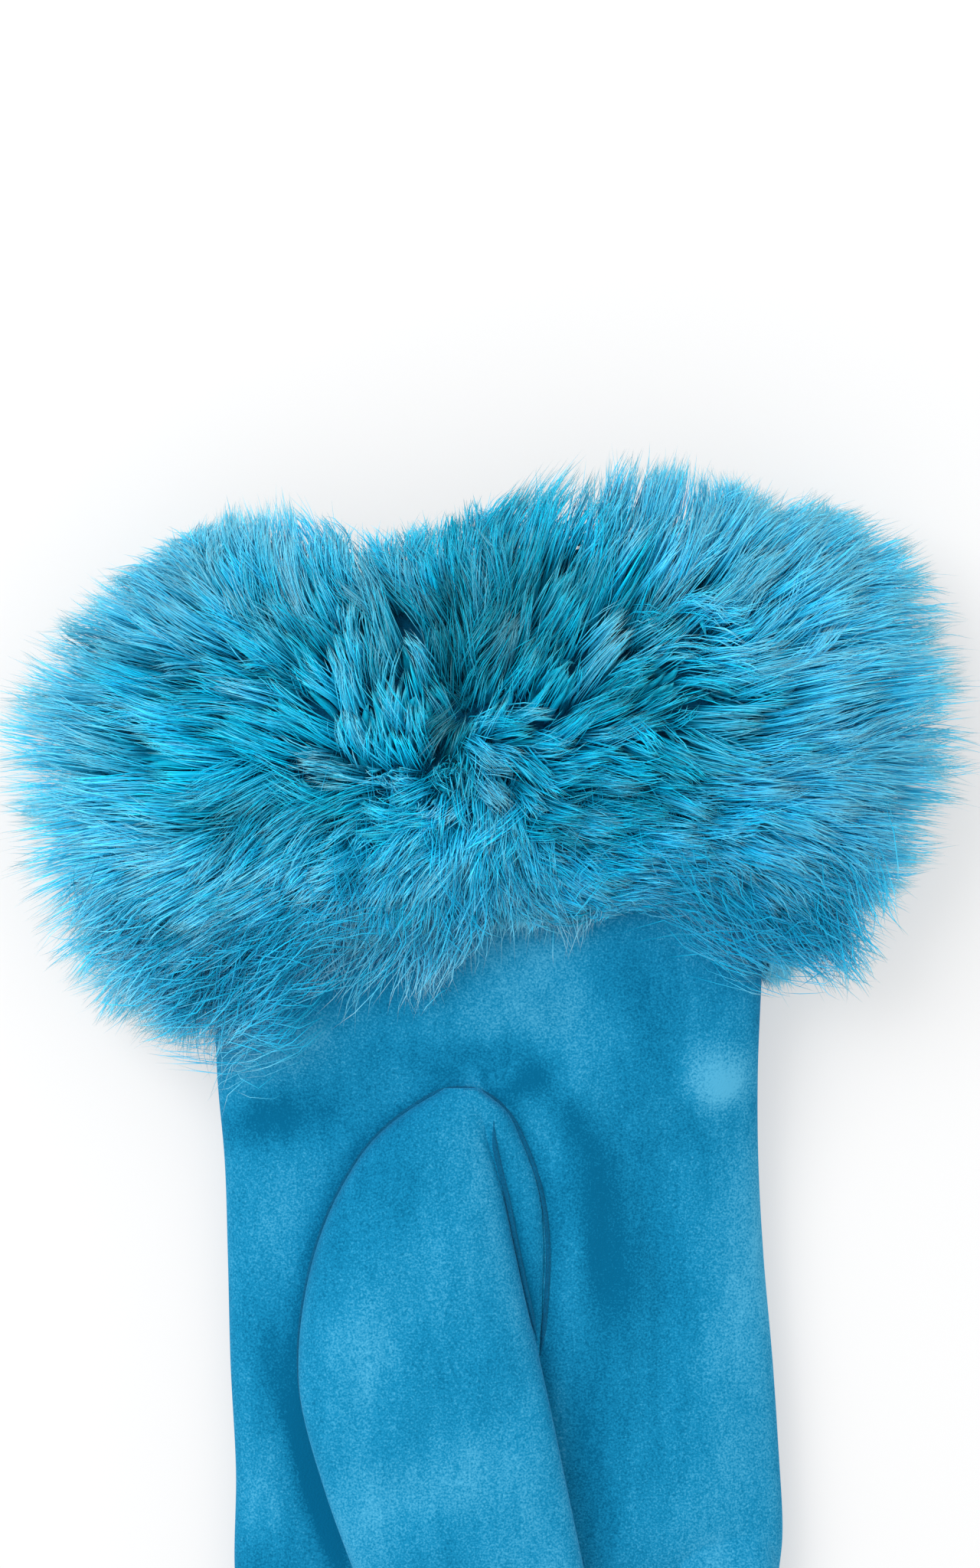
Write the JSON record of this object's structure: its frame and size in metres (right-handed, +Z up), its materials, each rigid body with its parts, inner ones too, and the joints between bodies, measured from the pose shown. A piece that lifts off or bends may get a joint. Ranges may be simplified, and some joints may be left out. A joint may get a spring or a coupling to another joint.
{
  "type": "faux leather glove",
  "caption": "Dress glove for the right hand in faux suede, palm up, with its thumb folded over the palm, strips between the fingers and a deep cuff of long-pile faux fur",
  "frame": {"origin": "on the surface that the glove lies on, under the middle of its palm", "axes": "+X to the little finger's side, +Y along the hand to the cuff's opening, +Z up out of the palm. The fingers point to -Y"},
  "size_m": [0.1599, 0.2671, 0.0402],
  "materials": {
    "faux_suede": "blue faux suede, matt and softly napped",
    "faux_fur": "blue long-pile faux fur with paler tips"
  },
  "bodies": {
    "root": {"palm_panel": "faux_suede", "back_panel": "faux_suede", "fourchette_index_middle": "faux_suede", "fourchette_middle_ring": "faux_suede", "fourchette_ring_little": "faux_suede", "thumb": "faux_suede", "fur_cuff": "faux_fur"}
  },
  "joints": []
}
